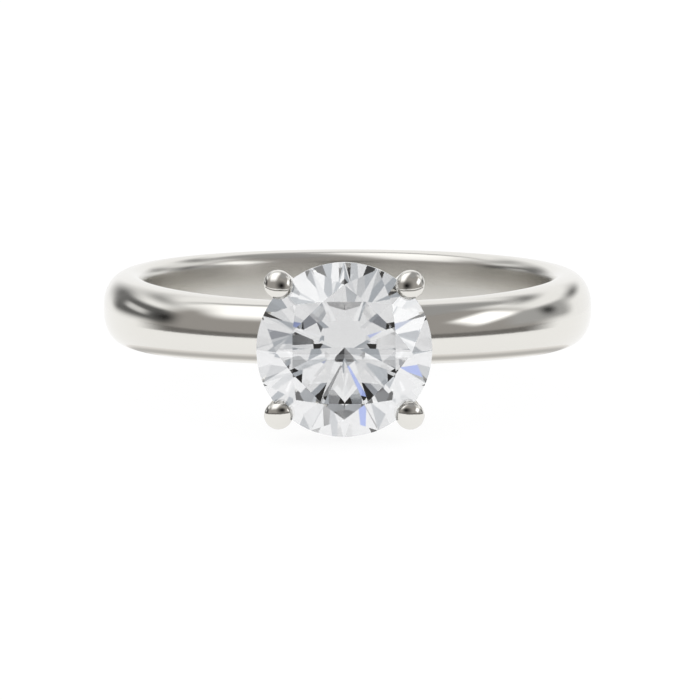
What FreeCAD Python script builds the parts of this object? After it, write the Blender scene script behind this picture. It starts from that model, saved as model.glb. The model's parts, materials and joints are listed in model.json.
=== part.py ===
"""Four-claw solitaire engagement ring, in millimetres.

The origin is the centre of the finger hole. The finger goes through along Z and the stone
faces -Y. The head is described by its height above the ring's centre, measured towards the
stone, and by the radius from the head's own axis, which runs along -Y.
"""
import FreeCAD
import Part
import math
import os

V = FreeCAD.Vector

# ---- shank ----
BORE_RADIUS = 8.25            # US size 6, 16.5 mm inside diameter
BAND_THICKNESS = 1.7          # from the finger hole to the crown of the dome
BAND_HALF_WIDTH_HEAD = 1.22
BAND_HALF_WIDTH_SIDE = 1.45
BAND_HALF_WIDTH_BACK = 1.43
EDGE_DEPTH = 0.6              # the band is widest this far outside the finger hole's wall
COMFORT_BULGE = 0.7           # depth of the curve between the widest points, before boring
DOME_POWER = 2.3              # superellipse power of the outside; 2 is an ellipse
BAND_SECTIONS = 24

# ---- round brilliant stone ----
STONE_RADIUS = 3.25
GIRDLE_HEIGHT = 13.6          # middle of the girdle above the ring's centre
GIRDLE_THICKNESS = 0.2
TABLE_RATIO = 0.63            # table corner radius over stone radius
CROWN_ANGLE = 34.5
PAVILION_ANGLE = 40.75
STAR_LENGTH = 0.45            # how far the stars reach from the table to the girdle
LOWER_HALF_LENGTH = 0.86      # how far the lower halves reach from the girdle to the culet

# ---- head ----
CLAW_ANGLES = {"upper_left": 135, "upper_right": 45, "lower_left": 225, "lower_right": 315}
CLAW_PATH = [                 # radius from the head's axis, height, radius of the wire
    (1.05, 9.85, 0.42),
    (2.10, 11.35, 0.45),
    (3.00, 12.75, 0.49),
    (3.42, 13.50, 0.52),
    (3.45, 13.72, 0.53),
]
BEAD_HEIGHT = 0.42            # rounded end of a claw, above the last point of its path
BEAD_LEAN = 0.12              # how far the bead's top leans over the stone
UPPER_RAIL = (2.35, 12.15)
UPPER_RAIL_WIRE_RADIUS = 0.38
LOWER_RAIL = (1.3, 10.8)
LOWER_RAIL_WIRE_RADIUS = 0.34
COLLAR_TOP = (1.5, 10.3)
COLLAR_BOTTOM = (1.1, 8.2)
SOLDER_THICKNESS = 0.15

FACET_STEP = 45.0
CUTTER_SIZE = 12.0


def head_point(radius, height, angle=0.0):
    """A point of the head from its radius, height and the angle around the head's axis."""
    turn = math.radians(angle)
    return V(radius * math.cos(turn), -height, radius * math.sin(turn))


def band_half_width(angle):
    """Half width of the band; the angle is 0 at the head and 180 at the back."""
    towards_head = math.cos(math.radians(angle))
    tilt = (BAND_HALF_WIDTH_HEAD - BAND_HALF_WIDTH_BACK) / 2
    bow = (BAND_HALF_WIDTH_HEAD + BAND_HALF_WIDTH_BACK) / 2 - BAND_HALF_WIDTH_SIDE
    return BAND_HALF_WIDTH_SIDE + tilt * towards_head + bow * towards_head ** 2


def half_curve(centre_r, reach_r, reach_z, power, quarter_steps=8):
    """Points of half a superellipse, from its top widest point over to its bottom one."""
    points = []
    for step in range(quarter_steps + 1):
        turn = math.pi / 2 * step / quarter_steps
        along_r = math.sin(turn) ** (2 / power)
        along_z = math.cos(turn) ** (2 / power) if step < quarter_steps else 0.0
        points.append((centre_r + reach_r * along_r, reach_z * along_z))
    return points + [(r, -z) for r, z in reversed(points[:-1])]


def band_section(angle):
    """D-shaped section with a gently curved inside, standing on the ring's plane at this angle."""
    half_width = band_half_width(angle)
    edge_radius = BORE_RADIUS + EDGE_DEPTH
    dome = half_curve(edge_radius, BAND_THICKNESS - EDGE_DEPTH, half_width, DOME_POWER)
    inside = half_curve(edge_radius, -COMFORT_BULGE, half_width, 2)
    turn = math.radians(angle)
    edges = []
    for outline in (dome, inside[::-1]):
        curve = Part.BSplineCurve()
        curve.interpolate([V(r * math.sin(turn), -r * math.cos(turn), z) for r, z in outline])
        edges.append(curve.toShape())
    return Part.Wire(edges)


def make_shank():
    """Band with a slight taper to the head, bored to a true cylinder."""
    sections = [band_section(360.0 * i / BAND_SECTIONS) for i in range(BAND_SECTIONS)]
    band = Part.makeLoft(sections, True, False, True)
    bore_length = 4 * BAND_HALF_WIDTH_SIDE
    bore = Part.makeCylinder(BORE_RADIUS, bore_length, V(0, 0, -bore_length / 2))
    return band.cut(bore)


def half_space(point, outward):
    """A box that fills everything beyond the plane through this point."""
    box = Part.makeBox(CUTTER_SIZE, CUTTER_SIZE, CUTTER_SIZE,
                       V(-CUTTER_SIZE / 2, -CUTTER_SIZE / 2, 0))
    box.Placement = FreeCAD.Placement(point, FreeCAD.Rotation(V(0, 0, 1), outward))
    return box


def facet_cutter(first, second, third):
    """The half space beyond a facet's plane, on the side away from the stone's middle."""
    normal = (second - first).cross(third - first)
    normal.normalize()
    middle = head_point(0, GIRDLE_HEIGHT)
    if normal.dot(first - middle) < 0:
        normal = -normal
    return half_space(first, normal)


def make_diamond():
    """Round brilliant: table, 8 stars, 8 kites, 16 upper halves, 16 lower halves, 8 mains."""
    girdle_top = GIRDLE_HEIGHT + GIRDLE_THICKNESS / 2
    girdle_bottom = GIRDLE_HEIGHT - GIRDLE_THICKNESS / 2
    table_radius = TABLE_RATIO * STONE_RADIUS
    crown_slope = math.tan(math.radians(CROWN_ANGLE))
    pavilion_slope = math.tan(math.radians(PAVILION_ANGLE))
    table_height = girdle_top + (STONE_RADIUS - table_radius) * crown_slope
    culet_height = girdle_bottom - STONE_RADIUS * pavilion_slope
    half_step = FACET_STEP / 2
    half_cos = math.cos(math.radians(half_step))

    table_flat = table_radius * half_cos
    star_radius = table_flat + STAR_LENGTH * (STONE_RADIUS - table_flat)
    star_height = girdle_top + (STONE_RADIUS - star_radius * half_cos) * crown_slope
    lower_radius = STONE_RADIUS * (1 - LOWER_HALF_LENGTH)
    lower_height = girdle_bottom - (STONE_RADIUS - lower_radius * half_cos) * pavilion_slope

    stone = Part.makeCylinder(STONE_RADIUS, table_height - culet_height,
                              head_point(0, culet_height), V(0, -1, 0))
    culet = head_point(0, culet_height)
    for i in range(8):
        line = FACET_STEP * i
        kite = line + half_step
        next_line = line + FACET_STEP
        table_corner = head_point(table_radius, table_height, kite)
        last_corner = head_point(table_radius, table_height, kite - FACET_STEP)
        star_tip = head_point(star_radius, star_height, line)
        next_star_tip = head_point(star_radius, star_height, next_line)
        lower_tip = head_point(lower_radius, lower_height, line)
        next_lower_tip = head_point(lower_radius, lower_height, next_line)
        cutters = [
            facet_cutter(last_corner, table_corner, star_tip),
            facet_cutter(table_corner, star_tip, next_star_tip),
            facet_cutter(culet, lower_tip, next_lower_tip),
        ]
        for side in (kite, kite - FACET_STEP):
            cutters.append(facet_cutter(star_tip, head_point(STONE_RADIUS, girdle_top, line),
                                        head_point(STONE_RADIUS, girdle_top, side)))
            cutters.append(facet_cutter(lower_tip, head_point(STONE_RADIUS, girdle_bottom, line),
                                        head_point(STONE_RADIUS, girdle_bottom, side)))
        for cutter in cutters:
            stone = stone.cut(cutter)
    return stone


def circle_wire(centre, direction, radius):
    return Part.Wire(Part.makeCircle(radius, centre, direction))


def make_bead(angle):
    """The rounded end of a claw: half a ball, flattened and leaning over the stone."""
    radius, height, wire_radius = CLAW_PATH[-1]
    half_ball = Part.makeSphere(1.0, V(0, 0, 0), V(0, 0, 1), 0, 90, 360)
    shape = FreeCAD.Matrix(wire_radius, 0, -BEAD_LEAN, 0,
                           0, wire_radius, 0, 0,
                           0, 0, BEAD_HEIGHT, 0)
    bead = half_ball.transformGeometry(shape)
    outwards = head_point(1, 0, angle)
    along = head_point(0, 1)
    across = along.cross(outwards)
    place = head_point(radius, height, angle)
    bead.Placement = FreeCAD.Placement(FreeCAD.Matrix(
        outwards.x, across.x, along.x, place.x,
        outwards.y, across.y, along.y, place.y,
        outwards.z, across.z, along.z, place.z))
    return bead


def make_claw_wire(angle):
    """One claw: a tapered wire that rises from the collar and ends in a bead over the girdle."""
    points = [head_point(radius, height, angle) for radius, height, _ in CLAW_PATH]
    path = Part.BSplineCurve()
    path.interpolate(points)
    directions = [path.tangent(path.parameter(point))[0] for point in points[:-1]]
    directions.append(head_point(0, 1))
    sections = []
    for point, direction, (_, _, wire_radius) in zip(points, directions, CLAW_PATH):
        sections.append(circle_wire(point, direction, wire_radius))
    wire = Part.makeLoft(sections, True, False)
    return wire.fuse(make_bead(angle))


def make_rail(place, wire_radius):
    """A gallery rail: a ring of round wire about the head's axis."""
    radius, height = place
    return Part.makeTorus(radius, wire_radius, head_point(0, height), V(0, -1, 0))


def make_collar_column():
    """The collar before its underside is shaped: a cone down into the band."""
    bottom_radius, bottom_height = COLLAR_BOTTOM
    top_radius, top_height = COLLAR_TOP
    return Part.makeCone(bottom_radius, top_radius, top_height - bottom_height,
                         head_point(0, bottom_height), V(0, -1, 0))


def largest_solid(shape):
    return max(shape.Solids, key=lambda solid: solid.Volume)


def make_parts():
    """All pieces by name; pieces meet face to face, each cut to the one that it sits on."""
    shank = make_shank()
    diamond = make_diamond()
    upper_rail = make_rail(UPPER_RAIL, UPPER_RAIL_WIRE_RADIUS)
    lower_rail = make_rail(LOWER_RAIL, LOWER_RAIL_WIRE_RADIUS)
    parts = {"shank": shank, "diamond": diamond}
    raised_band = shank.copy()
    raised_band.translate(V(0, -SOLDER_THICKNESS, 0))
    claws = []
    for name, angle in CLAW_ANGLES.items():
        claw = make_claw_wire(angle).cut([diamond, upper_rail, lower_rail, raised_band])
        claw = largest_solid(claw)
        claws.append(claw)
        parts["claw_" + name] = claw
    parts["upper_gallery_rail"] = upper_rail
    parts["lower_gallery_rail"] = lower_rail

    column = make_collar_column()
    collar = largest_solid(column.cut([raised_band] + claws))
    solder = largest_solid(column.cut(shank).cut([collar] + claws))
    parts["head_collar"] = collar
    parts["head_solder"] = solder
    return parts


def main():
    os.makedirs("parts", exist_ok=True)
    for name, shape in make_parts().items():
        solid = largest_solid(shape)
        print(name, "valid", solid.isValid(), "solids", len(shape.Solids),
              "volume", round(solid.Volume, 3))
        solid.exportStep("parts/" + name + ".step")


main()
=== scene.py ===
"""A four-claw solitaire ring: polished band, claw head on two gallery rails, brilliant-cut stone.

The row's frame has its origin at the centre of the finger hole, +Z along the hole and the stone
towards -Y. The head is described by its height towards the stone and its radius from the axis.
"""
import json
import math
import bmesh
import bpy
from mathutils import Matrix, Vector


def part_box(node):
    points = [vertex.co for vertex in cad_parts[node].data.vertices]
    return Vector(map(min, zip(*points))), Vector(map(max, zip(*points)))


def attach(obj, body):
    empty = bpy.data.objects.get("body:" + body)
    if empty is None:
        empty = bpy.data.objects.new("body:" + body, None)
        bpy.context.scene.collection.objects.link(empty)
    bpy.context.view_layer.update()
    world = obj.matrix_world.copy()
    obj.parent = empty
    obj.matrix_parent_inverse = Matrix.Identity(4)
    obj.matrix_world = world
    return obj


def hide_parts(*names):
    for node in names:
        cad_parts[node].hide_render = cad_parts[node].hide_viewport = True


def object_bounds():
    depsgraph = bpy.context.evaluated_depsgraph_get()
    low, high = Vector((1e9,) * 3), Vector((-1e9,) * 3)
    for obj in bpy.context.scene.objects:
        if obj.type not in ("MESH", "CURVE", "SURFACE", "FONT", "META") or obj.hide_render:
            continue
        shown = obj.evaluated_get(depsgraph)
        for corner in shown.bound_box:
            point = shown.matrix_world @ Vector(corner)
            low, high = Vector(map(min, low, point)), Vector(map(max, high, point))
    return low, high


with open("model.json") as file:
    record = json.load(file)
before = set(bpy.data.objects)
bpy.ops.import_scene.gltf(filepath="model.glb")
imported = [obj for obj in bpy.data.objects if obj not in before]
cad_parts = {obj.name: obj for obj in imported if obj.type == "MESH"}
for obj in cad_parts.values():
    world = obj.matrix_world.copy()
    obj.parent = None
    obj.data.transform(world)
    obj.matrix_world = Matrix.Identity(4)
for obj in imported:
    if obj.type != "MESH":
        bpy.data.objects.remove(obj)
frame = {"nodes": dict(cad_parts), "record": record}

bl_info = {
    "name": "Solitaire ring",
    "version": (1, 0, 0),
    "blender": (4, 5, 0),
    "location": "3D View > Sidebar > Solitaire ring",
    "description": "Builds a claw-set solitaire ring and its small studio",
    "category": "Object",
}

MM = 0.001
CAD_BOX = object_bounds()
BORE = frame["record"]["mounts"][0]["dims"]["r_mm"] * MM
SHANK_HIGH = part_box("shank")[1]
STONE_LOW, STONE_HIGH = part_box("diamond")
UPPER_RAIL_LOW, UPPER_RAIL_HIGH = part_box("upper_gallery_rail")
LOWER_RAIL_LOW, LOWER_RAIL_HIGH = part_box("lower_gallery_rail")
COLLAR_LOW, COLLAR_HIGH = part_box("head_collar")

# ---- mesh steps ----
MERGE_DISTANCE = 1e-7
CUT_DISTANCE = 1e-8
BORE_STEPS = 12
EDGE_STEPS = 16
DOME_STEPS = 40
BAND_STEPS = 400
GIRDLE_SEGMENTS = 256
CLAW_STEPS = 10               # between two places of a claw's path
CLAW_SEGMENTS = 64
BEAD_RINGS = 14
BEAD_OPENING = 0.3            # part of a ring left open at the bead's top, then capped
RAIL_SEGMENTS = 48
RAIL_STEPS = 256
COLLAR_LIP_STEPS = 8
COLLAR_FLARE_STEPS = 24
COLLAR_STEPS = 128
STAGE_SEGMENTS = 128

# ---- head ----
# radius from the head's axis, height, share of the foot's wire, share of the bead's radius
CLAW_PATH = (
    (1.05 * MM, 9.85 * MM, 1.0, 0.0),
    (2.10 * MM, 11.35 * MM, 1.06, 0.0),
    (3.00 * MM, 12.75 * MM, 0.0, 0.92),
    (3.42 * MM, 13.50 * MM, 0.0, 0.98),
    (3.45 * MM, 13.72 * MM, 0.0, 1.0),
)
CLAW_STRAIGHT = 0.5 * MM      # over this height below the bead a claw's rings turn level
BEAD_POINT_POWER = 4
COLLAR_LIP = 0.12 * MM
COLLAR_FOOT_RADIUS = 1.17 * MM
COLLAR_FOOT_HEIGHT = 8.9 * MM
COLLAR_FLARE = 1.6
COLLAR_SINK = 0.02 * MM       # how far the collar's foot goes into the band

# ---- finishes ----
METAL_ROUGHNESS = 0.09
WEAR_ROUGHNESS = 0.04
BAND_HAIRLINES = 0.02
HEAD_HAIRLINES = 0.01
CLOUD_SCALE = 420.0
CLOUD_TINT = 0.97
WEAR_SCALE = 2600.0
HAIRLINE_SCALE = 900.0
HAIRLINE_STRETCH = (14.0, 1.0, 6.0)
POLISH_BUMP = 0.015
POLISH_DEPTH = 2e-6
SATIN_ROUGHNESS = 0.12
SATIN_WEAR = 0.02
# tint that darkens the colour of the finger hole's wall: painted shade inside the hole, while the
# roughness above is the real satin finish
BORE_PAINTED_SHADE_TINT = 0.86
# radii where the finger hole's satin finish and its painted shade fade out
SATIN_AND_SHADE_INNER = BORE + 0.08 * MM
SATIN_AND_SHADE_OUTER = BORE + 0.30 * MM
DIAMOND_IOR = 2.417
ZONING_SCALE = 380.0
ZONING_TINT = 0.985

# ---- studio ----
CAMERA_DISTANCE = 0.140
CAMERA_AZIMUTH = 0.5
CAMERA_ELEVATION = 6.8
CAMERA_LENS = 176.0
CAMERA_SHIFT = (0.0036, -0.0626)
WARM_GREY = (1.0, 0.96, 0.92)
LAVENDER = (0.88, 0.92, 1.0)
BLUE = (0.45, 0.55, 1.0)
TENT_GREY = 0.36
TENT_EDGE = (0.05, 0.45)
TENT_LIFT = 0.35              # how much the white back of the tent leans over the ring
STONE_SHADE = (0.47, 0.50, 0.53)
STONE_PATCHES = (0.40, 0.52)
PATCH_SCALE = 3.2
PATCH_DETAIL = 1.5
PATCH_ROUGHNESS = 0.6
BACKDROP = 1.05
FLOOR_LEVEL = CAD_BOX[0].z - 0.2 * MM
FLOOR_RADIUS = 0.040
FLOOR_LIGHT = 0.90
FLOOR_PAPER = (0.12, 0.12, 0.12, 1.0)
FLOOR_GRAIN_SCALE = 900.0
RIM_RADIUS = 0.025
RIM_HEIGHT = 0.0018
RIM_LIGHT = 0.16
RIM_FADE = (-0.3 * RIM_RADIUS, 0.15 * RIM_RADIUS)
SHADE_RADII = (0.0082, 0.0108)
SHADE_HEIGHT = 0.05 * MM
SHADE_LIGHT = 0.55
SHADE_COLOUR = (1.0, 0.98, 0.96, 1.0)
SHADE_CORE = 0.1              # share of the shade's half width that is darkest
CARD_DISTANCE = 0.35

# cards that only the metal reflects, some of them dark flags:
# azimuth, elevation, width, height, strength, softness, roll, distance
CARDS = {
    "left_softbox": (-62, 60, 60, 84, 1.40, 0.7, 25),
    "left_window": (-117, 9, 30, 11, 0.72, 0.7, -8, 0.33),
    "left_frame": (-117, 10, 62, 32, 0.13, 0.5, 0, 0.36),
    "left_flag": (-93, 7, 26, 34, 0.02, 1.0),
    "left_far_flag": (-141, 16, 50, 40, 0.18, 1.0),
    "left_arch": (-128, 38, 70, 20, 0.40, 1.0),
    "right_softbox": (70, 22, 46, 28, 1.6, 0.6, 35),
    "right_flag": (109, 12, 20, 26, 0.03, 1.0),
    "right_arch": (133, 42, 56, 18, 0.25, 1.0),
    "right_grey": (104, 10, 60, 32, 0.42, 0.5, 0, 0.37),
    "right_shade": (144, 17, 46, 18, 0.22, 1.0),
    "right_ceiling": (84, 68, 80, 44, 0.36, 0.6),
    "back_ceiling": (180, 70, 110, 18, 0.45, 0.9),
    "lens": (0, 9, 52, 44, 0.0, 1.0, 0, 0.030),
}

# cards that only light through the stone reaches: azimuth, elevation, width, height, strength,
# colour
STONE_CARDS = {
    "stone_dark_left": (-19, 5, 13, 13, 0.0, LAVENDER),
    "stone_dark_right": (19, 5, 13, 13, 0.0, LAVENDER),
    "stone_dark_front": (3, -7, 10, 7, 0.10, LAVENDER),
    "stone_blue": (15, 1, 6, 8, 1.0, BLUE),
    "stone_dark_upper_left": (-35, 47, 9, 9, 0.05, LAVENDER),
    "stone_dark_upper_right": (33, 48, 9, 9, 0.05, LAVENDER),
    "stone_cool_left": (-38, 4, 12, 12, 0.42, LAVENDER),
    "stone_cool_right": (40, 5, 12, 12, 0.42, LAVENDER),
    "stone_cool_upper": (3, 42, 20, 9, 0.40, LAVENDER),
    "stone_cool_lower": (0, -31, 16, 9, 0.42, LAVENDER),
}


# ---------------------------------------------------------------- settings

class SolitaireBandSettings(bpy.types.PropertyGroup):
    """Sizes of the band."""
    outer_radius: bpy.props.FloatProperty(
        name="Outer radius", description="Radius of the crown of the dome",
        default=SHANK_HIGH.x, unit="LENGTH")
    half_width_head: bpy.props.FloatProperty(
        name="Half width at the head", description="Half the band's width under the stone",
        default=1.22 * MM, unit="LENGTH")
    half_width_side: bpy.props.FloatProperty(
        name="Half width at the sides", description="Half the band's width at the sides",
        default=1.45 * MM, unit="LENGTH")
    half_width_back: bpy.props.FloatProperty(
        name="Half width at the back", description="Half the band's width at the back",
        default=1.43 * MM, unit="LENGTH")
    edge_rounding: bpy.props.FloatProperty(
        name="Edge rounding", description="Radius of the rounded edges of the finger hole",
        default=0.5 * MM, unit="LENGTH")
    comfort_crown: bpy.props.FloatProperty(
        name="Comfort crown", description="How far the finger hole's wall curves away at its edges",
        default=0.1 * MM, unit="LENGTH")
    dome_power: bpy.props.FloatProperty(
        name="Dome fullness", description="Superellipse power of the outside; 2 is an ellipse",
        default=2.3)


class SolitaireStoneSettings(bpy.types.PropertyGroup):
    """Proportions of the round brilliant."""
    radius: bpy.props.FloatProperty(
        name="Radius", description="Girdle radius", default=STONE_HIGH.x, unit="LENGTH")
    table_ratio: bpy.props.FloatProperty(
        name="Table", description="Table corner radius over stone radius", default=0.63,
        subtype="FACTOR")
    crown_angle: bpy.props.FloatProperty(
        name="Crown angle", description="Tilt of the kites from the girdle's plane",
        default=math.radians(34.5), unit="ROTATION")
    pavilion_angle: bpy.props.FloatProperty(
        name="Pavilion angle", description="Tilt of the pavilion mains from the girdle's plane",
        default=math.radians(40.75), unit="ROTATION")
    girdle: bpy.props.FloatProperty(
        name="Girdle", description="Girdle thickness at the kites", default=0.2 * MM,
        unit="LENGTH")
    star_length: bpy.props.FloatProperty(
        name="Star length", description="Reach of the stars from table to girdle", default=0.45,
        subtype="FACTOR")
    lower_half_length: bpy.props.FloatProperty(
        name="Lower half length", description="Reach of the lower halves from girdle to culet",
        default=0.86, subtype="FACTOR")


class SolitaireHeadSettings(bpy.types.PropertyGroup):
    """Sizes of the head's wires."""
    bead_radius: bpy.props.FloatProperty(
        name="Bead radius", description="Radius of the rounded bead that ends a claw",
        default=0.53 * MM, unit="LENGTH")
    bead_height: bpy.props.FloatProperty(
        name="Bead height", description="From the bead's widest place to its top",
        default=0.42 * MM, unit="LENGTH")
    bead_lean: bpy.props.FloatProperty(
        name="Bead lean", description="How far the bead's top leans over the stone",
        default=0.12 * MM, unit="LENGTH")
    bead_point: bpy.props.FloatProperty(
        name="Bead point", description="Soft point on the side that holds the stone, over radius",
        default=0.10, subtype="FACTOR")
    claw_foot_radius: bpy.props.FloatProperty(
        name="Claw foot radius", description="Wire radius where the claw leaves the collar",
        default=0.42 * MM, unit="LENGTH")
    upper_wire: bpy.props.FloatProperty(
        name="Upper rail wire", description="Wire radius of the upper gallery rail",
        default=(UPPER_RAIL_HIGH.y - UPPER_RAIL_LOW.y) / 2, unit="LENGTH")
    lower_wire: bpy.props.FloatProperty(
        name="Lower rail wire", description="Wire radius of the lower gallery rail",
        default=(LOWER_RAIL_HIGH.y - LOWER_RAIL_LOW.y) / 2, unit="LENGTH")


class SolitaireFinishSettings(bpy.types.PropertyGroup):
    """Colours of the metal, the stone and the studio."""
    metal: bpy.props.FloatVectorProperty(
        name="Metal", description="Reflectance of the polished metal", subtype="COLOR",
        default=(0.80, 0.785, 0.745), min=0, max=1)
    stone: bpy.props.FloatVectorProperty(
        name="Stone", description="Body colour of the stone", subtype="COLOR",
        default=(0.985, 0.99, 1.0), min=0, max=1)
    studio: bpy.props.FloatVectorProperty(
        name="Studio", description="Colour of the tent and the floor", subtype="COLOR",
        default=(1.0, 1.0, 1.0), min=0, max=1)


# ---------------------------------------------------------------- mesh helpers

def head_point(radius, height, angle=0.0):
    """A point of the head from its radius, height and the angle around the head's axis."""
    return Vector((radius * math.cos(angle), -height, radius * math.sin(angle)))


def finish_piece(bm, name, node, material, smooth=True):
    """Turns a bmesh into a piece that rides on the ring and stands for a CAD node."""
    bmesh.ops.recalc_face_normals(bm, faces=bm.faces)
    for face in bm.faces:
        face.smooth = smooth
    mesh = bpy.data.meshes.new(name)
    bm.to_mesh(mesh)
    bm.free()
    piece = bpy.data.objects.new(name, mesh)
    bpy.context.scene.collection.objects.link(piece)
    mesh.materials.append(material)
    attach(piece, "root")
    if node:
        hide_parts(node)
    return piece


def open_chain(bm, points):
    """Vertices joined by edges, one after the other."""
    verts = [bm.verts.new(point) for point in points]
    return verts + [bm.edges.new(pair) for pair in zip(verts, verts[1:])]


def spin_about_head(bm, profile, closed, steps):
    """Turns a profile of (radius, height) pairs all the way round the head's axis."""
    points = [head_point(radius, height) for radius, height in profile]
    if closed:
        points.append(points[0])
    geom = open_chain(bm, points)
    bmesh.ops.spin(bm, geom=geom, cent=(0, 0, 0), axis=(0, 1, 0), angle=2 * math.pi,
                   steps=steps, use_merge=True, use_duplicate=False)
    bmesh.ops.remove_doubles(bm, verts=bm.verts, dist=MERGE_DISTANCE)


# ---------------------------------------------------------------- shader helpers

class Sock:
    """A value socket that takes part in Python expressions."""

    def __init__(self, tree, socket):
        self.tree = tree
        self.socket = socket

    def _math(self, operation, first, second=None):
        node = self.tree.nodes.new("ShaderNodeMath")
        node.operation = operation
        for place, value in enumerate((first, second)):
            if isinstance(value, Sock):
                self.tree.links.new(value.socket, node.inputs[place])
            elif value is not None:
                node.inputs[place].default_value = value
        return Sock(self.tree, node.outputs[0])

    def __abs__(self):
        return self._math("ABSOLUTE", self)

    def __add__(self, other):
        return self._math("ADD", self, other)

    def __radd__(self, other):
        return self._math("ADD", other, self)

    def __sub__(self, other):
        return self._math("SUBTRACT", self, other)

    def __rsub__(self, other):
        return self._math("SUBTRACT", other, self)

    def __mul__(self, other):
        return self._math("MULTIPLY", self, other)

    def __rmul__(self, other):
        return self._math("MULTIPLY", other, self)


class Graph:
    """A node tree under construction."""

    def __init__(self, owner, output):
        owner.use_nodes = True
        self.owner = owner
        self.tree = owner.node_tree
        self.tree.nodes.clear()
        self.output = self.tree.nodes.new(output)

    def node(self, kind, settings=None, inputs=None, output=0):
        """Adds a node: settings first, then its sockets; returns one of its outputs."""
        node = self.tree.nodes.new(kind)
        for key, value in (settings or {}).items():
            setattr(node, key, value)
        for key, value in (inputs or {}).items():
            if isinstance(value, Sock):
                self.tree.links.new(value.socket, node.inputs[key])
            else:
                node.inputs[key].default_value = value
        return Sock(self.tree, node.outputs[output])

    def place(self, kind="Object"):
        """X, Y and Z of the point being shaded."""
        where = self.node("ShaderNodeTexCoord", output=kind)
        return [self.node("ShaderNodeSeparateXYZ", inputs={0: where}, output=i) for i in range(3)]

    def ramp(self, value, low, high, bottom=0.0, top=1.0):
        """Smooth step from bottom to top while value goes from low to high."""
        return self.node("ShaderNodeMapRange", {"interpolation_type": "SMOOTHSTEP"},
                         {"Value": value, "From Min": low, "From Max": high,
                          "To Min": bottom, "To Max": top})

    def blend(self, share, first, second):
        """Mixes two colours, each a socket or three numbers."""
        first, second = [colour if isinstance(colour, Sock) else (*colour, 1.0)
                         for colour in (first, second)]
        return self.node("ShaderNodeMix", {"data_type": "RGBA"},
                         {0: share, 6: first, 7: second}, output=2)

    def noise(self, scale, detail=2.0, stretch=(1, 1, 1)):
        place = self.node("ShaderNodeTexCoord", output="Object")
        place = self.node("ShaderNodeMapping", inputs={"Vector": place, "Scale": stretch})
        return self.node("ShaderNodeTexNoise",
                         inputs={"Vector": place, "Scale": scale, "Detail": detail})

    def finish(self, shader):
        self.tree.links.new(shader.socket, self.output.inputs["Surface"])
        return self.owner


def material_graph(name):
    return Graph(bpy.data.materials.new(name), "ShaderNodeOutputMaterial")


def polished_metal(name, tint, hairlines, satin_and_shaded_bore=False):
    """Polished white metal with faint cloud, hairline polishing marks and a soft gloss; with a
    satin bore the wall of the finger hole is rougher, and its colour is darkened as painted shade
    inside the hole."""
    graph = material_graph(name)
    cloud = graph.noise(CLOUD_SCALE, detail=3.0)
    wear = graph.noise(WEAR_SCALE, detail=4.0)
    hair = graph.noise(HAIRLINE_SCALE, stretch=HAIRLINE_STRETCH)
    roughness = METAL_ROUGHNESS + WEAR_ROUGHNESS * wear * cloud + hairlines * hair * hair
    colour = graph.blend(cloud * 0.5, tint, [c * CLOUD_TINT for c in tint])
    if satin_and_shaded_bore:
        x, y, _ = graph.place()
        # mask of the finger hole's wall: it adds satin roughness, and it blends in a darker colour
        # that is painted shade inside the hole
        satin_and_shade = graph.ramp(x * x + y * y, SATIN_AND_SHADE_INNER ** 2, SATIN_AND_SHADE_OUTER ** 2, 1.0, 0.0)
        roughness = roughness + satin_and_shade * (SATIN_ROUGHNESS + SATIN_WEAR * wear)
        colour = graph.blend(satin_and_shade, colour, [c * BORE_PAINTED_SHADE_TINT for c in tint])
    bump = graph.node("ShaderNodeBump", {}, {
        "Strength": POLISH_BUMP, "Distance": POLISH_DEPTH, "Height": hair + 0.5 * wear})
    return graph.finish(graph.node("ShaderNodeBsdfPrincipled", {}, {
        "Base Color": colour, "Metallic": 1.0, "Roughness": roughness, "Normal": bump}))


def brilliant_stone(name, tint):
    """Colourless diamond: bright, strongly refracting, with barely visible zoning."""
    graph = material_graph(name)
    zoning = graph.noise(ZONING_SCALE)
    colour = graph.blend(zoning, tint, [c * ZONING_TINT for c in tint])
    return graph.finish(graph.node("ShaderNodeBsdfPrincipled", {}, {
        "Base Color": colour, "Roughness": 0.0, "IOR": DIAMOND_IOR,
        "Transmission Weight": 1.0}))


def soft_glow(name, colour, strength, softness):
    """Light from a card one unit either way in X and Y that fades out towards its edges."""
    graph = material_graph(name)
    x, y, _ = graph.place()
    fade_x, fade_y = [graph.ramp(abs(across), 1.0 - softness, 1.0, 1.0, 0.0)
                      for across in (x, y)]
    share = fade_y * fade_x
    clear = graph.node("ShaderNodeBsdfTransparent")
    light = graph.node("ShaderNodeEmission", {}, {"Color": (*colour, 1.0), "Strength": strength})
    return graph.finish(graph.node("ShaderNodeMixShader", {}, {0: share, 1: clear, 2: light}))


# ---------------------------------------------------------------- pieces

def band_half_width(settings, towards_head):
    """Half width of the band; towards_head is 1 under the stone and -1 at the back."""
    head, side, back = (settings.half_width_head, settings.half_width_side,
                        settings.half_width_back)
    return side + (head - back) / 2 * towards_head + ((head + back) / 2 - side) * towards_head ** 2


def dome_radius(settings, z, towards_head=1.0):
    """Radius of the band's outside at this height above the ring's plane."""
    edge = BORE + settings.comfort_crown + settings.edge_rounding
    share = min(1.0, abs(z) / band_half_width(settings, towards_head))
    rise = (1 - share ** settings.dome_power) ** (1 / settings.dome_power)
    return edge + (settings.outer_radius - edge) * rise


def superellipse(count, power):
    """Points of a quarter superellipse from (0, 1) to (1, 0), evenly turned."""
    points = []
    for i in range(count + 1):
        turn = math.pi / 2 * i / count
        points.append((abs(math.sin(turn)) ** (2 / power), abs(math.cos(turn)) ** (2 / power)))
    points[0] = (0.0, 1.0)
    points[-1] = (1.0, 0.0)
    return points


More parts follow.
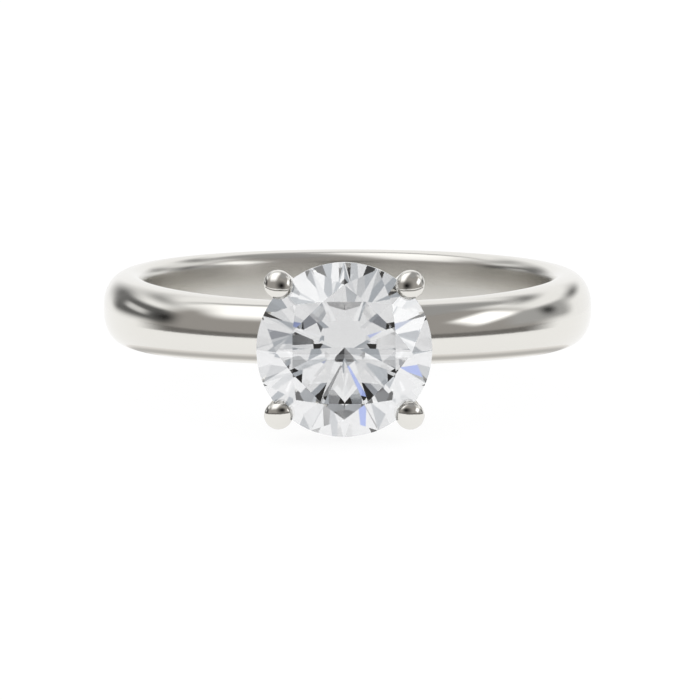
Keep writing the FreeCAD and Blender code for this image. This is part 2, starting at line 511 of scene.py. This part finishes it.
def half_band_profile(settings):
    """(radius, share of half width) pairs from the middle of the bore to the dome's crown."""
    rounding = settings.edge_rounding
    edge = BORE + settings.comfort_crown + rounding
    straight = 1 - rounding / settings.half_width_side
    shares = [straight * i / BORE_STEPS for i in range(BORE_STEPS)]
    shares += [straight + (1 - straight) * math.sin(math.pi / 2 * i / EDGE_STEPS)
               for i in range(EDGE_STEPS + 1)]
    profile = []
    for share in shares:
        turned = max(0.0, share - straight) / (1 - straight)
        profile.append((BORE + settings.comfort_crown * share ** 2
                        + rounding * (1 - math.sqrt(max(0.0, 1 - turned ** 2))), share))
    for across, along in superellipse(DOME_STEPS, settings.dome_power)[1:]:
        profile.append((edge + (settings.outer_radius - edge) * across, along))
    return profile


def make_band(settings, material):
    """A D-shaped profile spun round the finger, then narrowed towards the head."""
    upper = half_band_profile(settings)
    lower = [(radius, -share) for radius, share in reversed(upper[1:-1])]
    points = [Vector((0, -radius, share)) for radius, share in upper + lower]
    bm = bmesh.new()
    geom = open_chain(bm, points + points[:1])
    bmesh.ops.spin(bm, geom=geom, cent=(0, 0, 0), axis=(0, 0, 1), angle=2 * math.pi,
                   steps=BAND_STEPS, use_merge=True, use_duplicate=False)
    bmesh.ops.remove_doubles(bm, verts=bm.verts, dist=MERGE_DISTANCE)
    for vert in bm.verts:
        towards_head = -vert.co.y / vert.co.to_2d().length
        vert.co.z *= band_half_width(settings, towards_head)
    return finish_piece(bm, "band", "shank", material)


def stone_planes(settings):
    """Every facet as a point and an outward normal."""
    radius = settings.radius
    top = (STONE_LOW.y + STONE_HIGH.y) / 2
    crown = math.tan(settings.crown_angle)
    pavilion = math.tan(settings.pavilion_angle)
    table_radius = settings.table_ratio * radius
    table_height = -STONE_LOW.y
    girdle_top = table_height - (radius - table_radius) * crown
    girdle_bottom = girdle_top - settings.girdle
    culet = head_point(0, girdle_bottom - radius * pavilion)
    middle = head_point(0, (girdle_top + girdle_bottom) / 2)
    half_cos = math.cos(math.pi / 8)
    star_radius = table_radius * half_cos
    star_radius += settings.star_length * (radius - star_radius)
    star_height = girdle_top + (radius - star_radius * half_cos) * crown
    lower_radius = radius * (1 - settings.lower_half_length)
    lower_height = girdle_bottom - (radius - lower_radius * half_cos) * pavilion

    def facet(first, second, third):
        normal = (second - first).cross(third - first).normalized()
        return first, normal if normal.dot(first - middle) > 0 else -normal

    step = math.pi / 4
    planes = [(head_point(0, table_height), Vector((0, -1, 0)))]
    for i in range(8):
        line = step * i
        kite = line + step / 2
        corner = head_point(table_radius, table_height, kite)
        last_corner = head_point(table_radius, table_height, kite - step)
        star = head_point(star_radius, star_height, line)
        next_star = head_point(star_radius, star_height, line + step)
        lower = head_point(lower_radius, lower_height, line)
        next_lower = head_point(lower_radius, lower_height, line + step)
        planes.append(facet(last_corner, corner, star))
        planes.append(facet(corner, star, next_star))
        planes.append(facet(culet, lower, next_lower))
        for side in (kite, kite - step):
            planes.append(facet(star, head_point(radius, girdle_top, line),
                                head_point(radius, girdle_top, side)))
            planes.append(facet(lower, head_point(radius, girdle_bottom, line),
                                head_point(radius, girdle_bottom, side)))
    return planes, culet


def make_stone(settings, material):
    """A round rod of stone, ground flat facet by facet."""
    planes, culet = stone_planes(settings)
    length = culet.y - STONE_LOW.y
    bm = bmesh.new()
    bmesh.ops.create_cone(bm, cap_ends=True, segments=GIRDLE_SEGMENTS,
                          radius1=settings.radius, radius2=settings.radius, depth=length,
                          matrix=Matrix.Translation((0, STONE_LOW.y + length / 2, 0))
                          @ Matrix.Rotation(math.pi / 2, 4, "X"))
    for point, normal in planes[1:]:
        cut = bmesh.ops.bisect_plane(bm, geom=bm.verts[:] + bm.edges[:] + bm.faces[:],
                                     dist=CUT_DISTANCE, plane_co=point, plane_no=normal,
                                     clear_outer=True)
        edges = [item for item in cut["geom_cut"] if isinstance(item, bmesh.types.BMEdge)]
        bmesh.ops.contextual_create(bm, geom=edges)
    bmesh.ops.remove_doubles(bm, verts=bm.verts, dist=MERGE_DISTANCE)
    return finish_piece(bm, "brilliant", "diamond", material, smooth=False)


def claw_stations(settings):
    """Radius from the axis, height and wire radius at places along a claw, up to its bead."""
    return [(radius, height,
             settings.claw_foot_radius * of_foot + settings.bead_radius * of_bead)
            for radius, height, of_foot, of_bead in CLAW_PATH]


def smooth_through(rows, count):
    """Points on a Catmull-Rom curve through the rows, evenly spread between them."""
    first = [2 * a - b for a, b in zip(rows[0], rows[1])]
    last = [2 * a - b for a, b in zip(rows[-1], rows[-2])]
    padded = [first] + [list(row) for row in rows] + [last]
    points = []
    for i in range(1, len(padded) - 2):
        for step in range(count):
            t = step / count
            points.append([
                0.5 * (2 * b + (c - a) * t + (2 * a - 5 * b + 4 * c - d) * t ** 2
                       + (3 * b - a - 3 * c + d) * t ** 3)
                for a, b, c, d in zip(*padded[i - 1:i + 3])])
    points.append(list(rows[-1]))
    return points


def bead_rings(settings, base):
    """The rounded end: rings that shrink like a ball's while they lean over the stone."""
    radius, height, wire = base
    rings = []
    for step in range(1, BEAD_RINGS + 1):
        turn = math.pi / 2 * step / (BEAD_RINGS + BEAD_OPENING)
        rings.append((radius - settings.bead_lean * math.sin(turn),
                      height + settings.bead_height * math.sin(turn),
                      wire * math.cos(turn), 0.0))
    return rings


def make_claw(settings, name, angle, material):
    """A wire drawn along its path ring by ring, and closed with a bead."""
    path = smooth_through(claw_stations(settings), CLAW_STEPS)
    stations = []
    for i, (radius, height, wire) in enumerate(path):
        before = path[max(i - 1, 0)]
        after = path[min(i + 1, len(path) - 1)]
        lean = math.atan2(after[0] - before[0], after[1] - before[1])
        fade = min(1.0, (path[-1][1] - height) / CLAW_STRAIGHT)
        stations.append((radius, height, wire, lean * fade))
    stations += bead_rings(settings, path[-1])

    def placing(station):
        radius, height, wire, lean = station
        return (Matrix.Rotation(-angle, 4, "Y") @ Matrix.Translation((radius, -height, 0))
                @ Matrix.Rotation(lean, 4, "Z") @ Matrix.Rotation(math.pi / 2, 4, "X")
                @ Matrix.Diagonal((wire, wire, 1, 1)))

    bm = bmesh.new()
    ring = bmesh.ops.create_circle(bm, cap_ends=True, segments=CLAW_SEGMENTS,
                                   radius=1.0)["verts"]
    for vert in ring:
        towards_stone = max(0.0, -vert.co.x)
        vert.co.x -= settings.bead_point * towards_stone ** BEAD_POINT_POWER
    bmesh.ops.transform(bm, matrix=placing(stations[0]), verts=ring)
    edges = bm.edges[:]
    for last, station in zip(stations, stations[1:]):
        made = bmesh.ops.extrude_edge_only(bm, edges=edges)["geom"]
        ring = [item for item in made if isinstance(item, bmesh.types.BMVert)]
        edges = [item for item in made if isinstance(item, bmesh.types.BMEdge)
                 and all(vert in ring for vert in item.verts)]
        bmesh.ops.transform(bm, matrix=placing(station) @ placing(last).inverted(), verts=ring)
    bmesh.ops.contextual_create(bm, geom=edges)
    return finish_piece(bm, "claw_" + name + "_wire", "claw_" + name, material)


def make_rail(name, node, low, high, wire, material):
    """A ring of round wire round the head's axis."""
    radius = high.x - wire
    height = -(low.y + high.y) / 2
    profile = [(radius + wire * math.cos(2 * math.pi * i / RAIL_SEGMENTS),
                height + wire * math.sin(2 * math.pi * i / RAIL_SEGMENTS))
               for i in range(RAIL_SEGMENTS)]
    bm = bmesh.new()
    spin_about_head(bm, profile, closed=True, steps=RAIL_STEPS)
    return finish_piece(bm, name, node, material)


def make_collar(band, material):
    """The head's foot: a flared cup that sits on the band like a saddle."""
    top_radius = COLLAR_HIGH.x
    top = -COLLAR_LOW.y
    lip = COLLAR_LIP
    foot_radius = COLLAR_FOOT_RADIUS
    foot = COLLAR_FOOT_HEIGHT
    profile = [(0.0, top)]
    for i in range(COLLAR_LIP_STEPS + 1):
        turn = math.pi / 2 * i / COLLAR_LIP_STEPS
        profile.append((top_radius - lip + lip * math.sin(turn),
                        top - lip + lip * math.cos(turn)))
    for i in range(1, COLLAR_FLARE_STEPS + 1):
        down = i / COLLAR_FLARE_STEPS
        profile.append((foot_radius + (top_radius - foot_radius) * (1 - down) ** COLLAR_FLARE,
                        top - lip - (top - lip - foot) * down))
    bm = bmesh.new()
    spin_about_head(bm, profile, closed=False, steps=COLLAR_STEPS)
    for vert in bm.verts:
        share = (top - lip + vert.co.y) / (top - lip - foot)
        if share > 0:
            saddle = dome_radius(band, vert.co.z) * math.cos(math.asin(vert.co.x / BORE))
            reach = top - lip - saddle + COLLAR_SINK
            vert.co.y = reach * min(share, 1.0) - (top - lip)
    rim = [edge for edge in bm.edges if edge.is_boundary]
    bmesh.ops.contextual_create(bm, geom=rim)
    return finish_piece(bm, "collar", "head_collar", material)


# ---------------------------------------------------------------- operators

class SOLITAIRE_OT_band(bpy.types.Operator):
    """Build the polished band"""
    bl_idname = "solitaire.band"
    bl_label = "Band"

    def execute(self, context):
        scene = context.scene
        material = polished_metal("polished_band_metal", scene.solitaire_finish.metal,
                                  BAND_HAIRLINES, satin_and_shaded_bore=True)
        make_band(scene.solitaire_band, material)
        return {"FINISHED"}


class SOLITAIRE_OT_stone(bpy.types.Operator):
    """Cut the round brilliant"""
    bl_idname = "solitaire.stone"
    bl_label = "Stone"

    def execute(self, context):
        scene = context.scene
        make_stone(scene.solitaire_stone, brilliant_stone("brilliant_stone",
                                                          scene.solitaire_finish.stone))
        return {"FINISHED"}


class SOLITAIRE_OT_head(bpy.types.Operator):
    """Build the claws, the gallery rails and the collar"""
    bl_idname = "solitaire.head"
    bl_label = "Claw head"

    def execute(self, context):
        scene = context.scene
        settings = scene.solitaire_head
        material = polished_metal("polished_head_metal", scene.solitaire_finish.metal,
                                  HEAD_HAIRLINES)
        angles = {"upper_left": 135, "upper_right": 45, "lower_left": 225, "lower_right": 315}
        for name, angle in angles.items():
            make_claw(settings, name, math.radians(angle), material)
        make_rail("upper_rail", "upper_gallery_rail", UPPER_RAIL_LOW, UPPER_RAIL_HIGH,
                  settings.upper_wire, material)
        make_rail("lower_rail", "lower_gallery_rail", LOWER_RAIL_LOW, LOWER_RAIL_HIGH,
                  settings.lower_wire, material)
        make_collar(scene.solitaire_band, material)
        frame["nodes"]["head_solder"].data.materials.clear()
        frame["nodes"]["head_solder"].data.materials.append(material)
        return {"FINISHED"}


def stage_piece(bm, name, material, in_camera=False):
    """Puts a studio mesh on the stage; cards show in reflections and through the stone only."""
    mesh = bpy.data.meshes.new(name)
    bm.to_mesh(mesh)
    bm.free()
    mesh.materials.append(material)
    piece = bpy.data.objects.new(name, mesh)
    bpy.context.scene.collection.objects.link(piece)
    if not in_camera:
        piece.visible_camera = False
        piece.visible_diffuse = False
        piece.visible_shadow = False
    return piece


def towards(azimuth, elevation):
    """Unit vector: azimuth 0 is in front of the stone and grows to its right; in degrees."""
    turn, lift = math.radians(azimuth), math.radians(elevation)
    return Vector((math.sin(turn) * math.cos(lift), -math.cos(turn) * math.cos(lift),
                   math.sin(lift)))


def make_card(name, azimuth, elevation, width, height, strength, softness=0.6, roll=0.0,
              distance=None, colour=(1.0, 1.0, 1.0), for_stone=False):
    """A soft-edged studio card that faces the ring, for the metal's reflections or for the
    light through the stone: angles and sizes in degrees."""
    distance = distance or CARD_DISTANCE
    across = distance * math.tan(math.radians(width) / 2)
    up = distance * math.tan(math.radians(height) / 2)
    back = towards(azimuth, elevation)
    bm = bmesh.new()
    bmesh.ops.create_grid(bm, x_segments=1, y_segments=1, size=1.0)
    card = stage_piece(bm, name, soft_glow(name + "_face", colour, strength, softness))
    card.matrix_world = (Matrix.Translation(back * distance)
                         @ back.to_track_quat("Z", "Y").to_matrix().to_4x4()
                         @ Matrix.Rotation(math.radians(roll), 4, "Z")
                         @ Matrix.Diagonal((across, up, 1, 1)))
    card.visible_transmission = for_stone
    card.visible_glossy = not for_stone
    return card


def make_tent(colour):
    """World light: plain and pale where the camera looks, a grey room with a white back in the
    metal's reflections, and a patchy pale room for light through the stone."""
    graph = Graph(bpy.data.worlds.new("light_tent"), "ShaderNodeOutputWorld")
    _, depth, lift = graph.place("Generated")
    metal_room = graph.blend(graph.ramp(depth + TENT_LIFT * lift, *TENT_EDGE),
                             [TENT_GREY * c for c in WARM_GREY], colour)
    where = graph.node("ShaderNodeTexCoord", output="Generated")
    patches = graph.node("ShaderNodeTexNoise", {}, {
        "Vector": where, "Scale": PATCH_SCALE, "Detail": PATCH_DETAIL,
        "Roughness": PATCH_ROUGHNESS})
    stone_room = graph.blend(graph.ramp(patches, *STONE_PATCHES), STONE_SHADE, colour)
    camera = graph.node("ShaderNodeLightPath", output="Is Camera Ray")
    diffuse = graph.node("ShaderNodeLightPath", output="Is Diffuse Ray")
    through = graph.node("ShaderNodeLightPath", output="Is Transmission Ray")
    seen = graph.node("ShaderNodeMath", {"operation": "MAXIMUM"}, {0: camera, 1: diffuse})
    room = graph.blend(through, metal_room, stone_room)
    backdrop = graph.blend(seen, room, [BACKDROP * c for c in colour])
    return graph.finish(graph.node("ShaderNodeBackground", {}, {"Color": backdrop}))


def hoop(radius, far_radius, rise):
    """An open ring of faces from one circle over the floor to another."""
    bm = bmesh.new()
    bmesh.ops.create_circle(bm, cap_ends=False, segments=STAGE_SEGMENTS, radius=radius)
    made = bmesh.ops.extrude_edge_only(bm, edges=bm.edges[:])["geom"]
    verts = [item for item in made if isinstance(item, bmesh.types.BMVert)]
    wider = far_radius / radius
    bmesh.ops.scale(bm, verts=verts, vec=Vector((wider, wider, 1)))
    bmesh.ops.translate(bm, verts=verts, vec=(0, 0, rise))
    return bm


def make_floor():
    """A small round sheet of pale paper that lights the ring from below."""
    bm = bmesh.new()
    bmesh.ops.create_circle(bm, cap_ends=True, segments=STAGE_SEGMENTS, radius=FLOOR_RADIUS)
    bmesh.ops.translate(bm, verts=bm.verts, vec=(0, 0, FLOOR_LEVEL))
    graph = material_graph("floor_paper")
    grain = graph.noise(FLOOR_GRAIN_SCALE)
    paper = graph.node("ShaderNodeBsdfPrincipled", {}, {
        "Base Color": FLOOR_PAPER, "Roughness": 0.9 + 0.05 * grain,
        "Specular IOR Level": 0.0,
        "Emission Color": (1.0, 1.0, 1.0, 1.0), "Emission Strength": FLOOR_LIGHT})
    stage_piece(bm, "floor", graph.finish(paper), in_camera=True)


def make_floor_rim():
    """A low dark rim round the front of the floor: the horizon that the metal reflects."""
    bm = hoop(RIM_RADIUS, RIM_RADIUS, RIM_HEIGHT)
    bmesh.ops.translate(bm, verts=bm.verts, vec=(0, 0, FLOOR_LEVEL))
    graph = material_graph("floor_rim_face")
    _, depth, _ = graph.place()
    share = graph.ramp(depth, *RIM_FADE, 1.0, 0.0)
    clear = graph.node("ShaderNodeBsdfTransparent")
    dark = graph.node("ShaderNodeEmission", {}, {
        "Color": (*WARM_GREY, 1.0), "Strength": RIM_LIGHT})
    rim = stage_piece(bm, "floor_rim", graph.finish(
        graph.node("ShaderNodeMixShader", {}, {0: share, 1: clear, 2: dark})))
    rim.visible_transmission = False


def make_contact_shade():
    """The soft shade under the band, which its lower edge reflects."""
    inner, outer = SHADE_RADII
    half_width = (outer - inner) / 2
    bm = hoop(inner, outer, 0.0)
    bmesh.ops.translate(bm, verts=bm.verts, vec=(0, 0, FLOOR_LEVEL + SHADE_HEIGHT))
    graph = material_graph("contact_shade_face")
    x, y, _ = graph.place()
    reach = graph.node("ShaderNodeMath", {"operation": "SQRT"}, {0: x * x + y * y})
    strength = graph.ramp(abs(reach - (inner + outer) / 2), SHADE_CORE * half_width, half_width,
                          SHADE_LIGHT, FLOOR_LIGHT)
    shade = stage_piece(bm, "contact_shade", graph.finish(
        graph.node("ShaderNodeEmission", {}, {"Color": SHADE_COLOUR, "Strength": strength})))
    shade.visible_transmission = False


def make_camera(scene):
    """A long lens a hand's width away, a little above the ring's plane."""
    data = bpy.data.cameras.new("camera")
    camera = bpy.data.objects.new("camera", data)
    scene.collection.objects.link(camera)
    data.sensor_width = 36.0
    data.lens = CAMERA_LENS
    data.clip_start = 0.01
    data.clip_end = 10.0
    data.shift_x = CAMERA_SHIFT[0]
    data.shift_y = CAMERA_SHIFT[1]
    back = towards(CAMERA_AZIMUTH, CAMERA_ELEVATION)
    camera.matrix_world = (Matrix.Translation(back * CAMERA_DISTANCE)
                           @ Matrix.Rotation(math.radians(CAMERA_AZIMUTH), 4, "Z")
                           @ Matrix.Rotation(math.radians(90 - CAMERA_ELEVATION), 4, "X"))
    scene.camera = camera


class SOLITAIRE_OT_studio(bpy.types.Operator):
    """Set up the floor, the light tent, the cards and the camera"""
    bl_idname = "solitaire.studio"
    bl_label = "Studio"

    def execute(self, context):
        scene = context.scene
        scene.world = make_tent(scene.solitaire_finish.studio)
        scene.view_settings.view_transform = "Standard"
        make_floor()
        make_floor_rim()
        make_contact_shade()
        for name, card in CARDS.items():
            make_card(name, *card)
        for name, (*place, strength, colour) in STONE_CARDS.items():
            make_card(name, *place, strength, colour=colour, for_stone=True)
        make_camera(scene)
        return {"FINISHED"}


class SOLITAIRE_PT_panel(bpy.types.Panel):
    """Lists the steps that build the ring"""
    bl_idname = "SOLITAIRE_PT_panel"
    bl_label = "Solitaire ring"
    bl_space_type = "VIEW_3D"
    bl_region_type = "UI"
    bl_category = "Solitaire ring"

    def draw(self, context):
        for operator in OPERATORS:
            self.layout.operator(operator.bl_idname)


SETTINGS = {
    "solitaire_band": SolitaireBandSettings,
    "solitaire_stone": SolitaireStoneSettings,
    "solitaire_head": SolitaireHeadSettings,
    "solitaire_finish": SolitaireFinishSettings,
}
OPERATORS = (SOLITAIRE_OT_band, SOLITAIRE_OT_stone, SOLITAIRE_OT_head, SOLITAIRE_OT_studio)
CLASSES = (*SETTINGS.values(), *OPERATORS, SOLITAIRE_PT_panel)


def register():
    for cls in CLASSES:
        bpy.utils.register_class(cls)
    for name, cls in SETTINGS.items():
        setattr(bpy.types.Scene, name, bpy.props.PointerProperty(type=cls))


def unregister():
    for name in SETTINGS:
        delattr(bpy.types.Scene, name)
    for cls in reversed(CLASSES):
        bpy.utils.unregister_class(cls)


def main():
    register()
    bpy.ops.solitaire.band()
    bpy.ops.solitaire.stone()
    bpy.ops.solitaire.head()
    bpy.ops.solitaire.studio()
    bpy.context.view_layer.update()


if __name__ == "__main__":
    main()
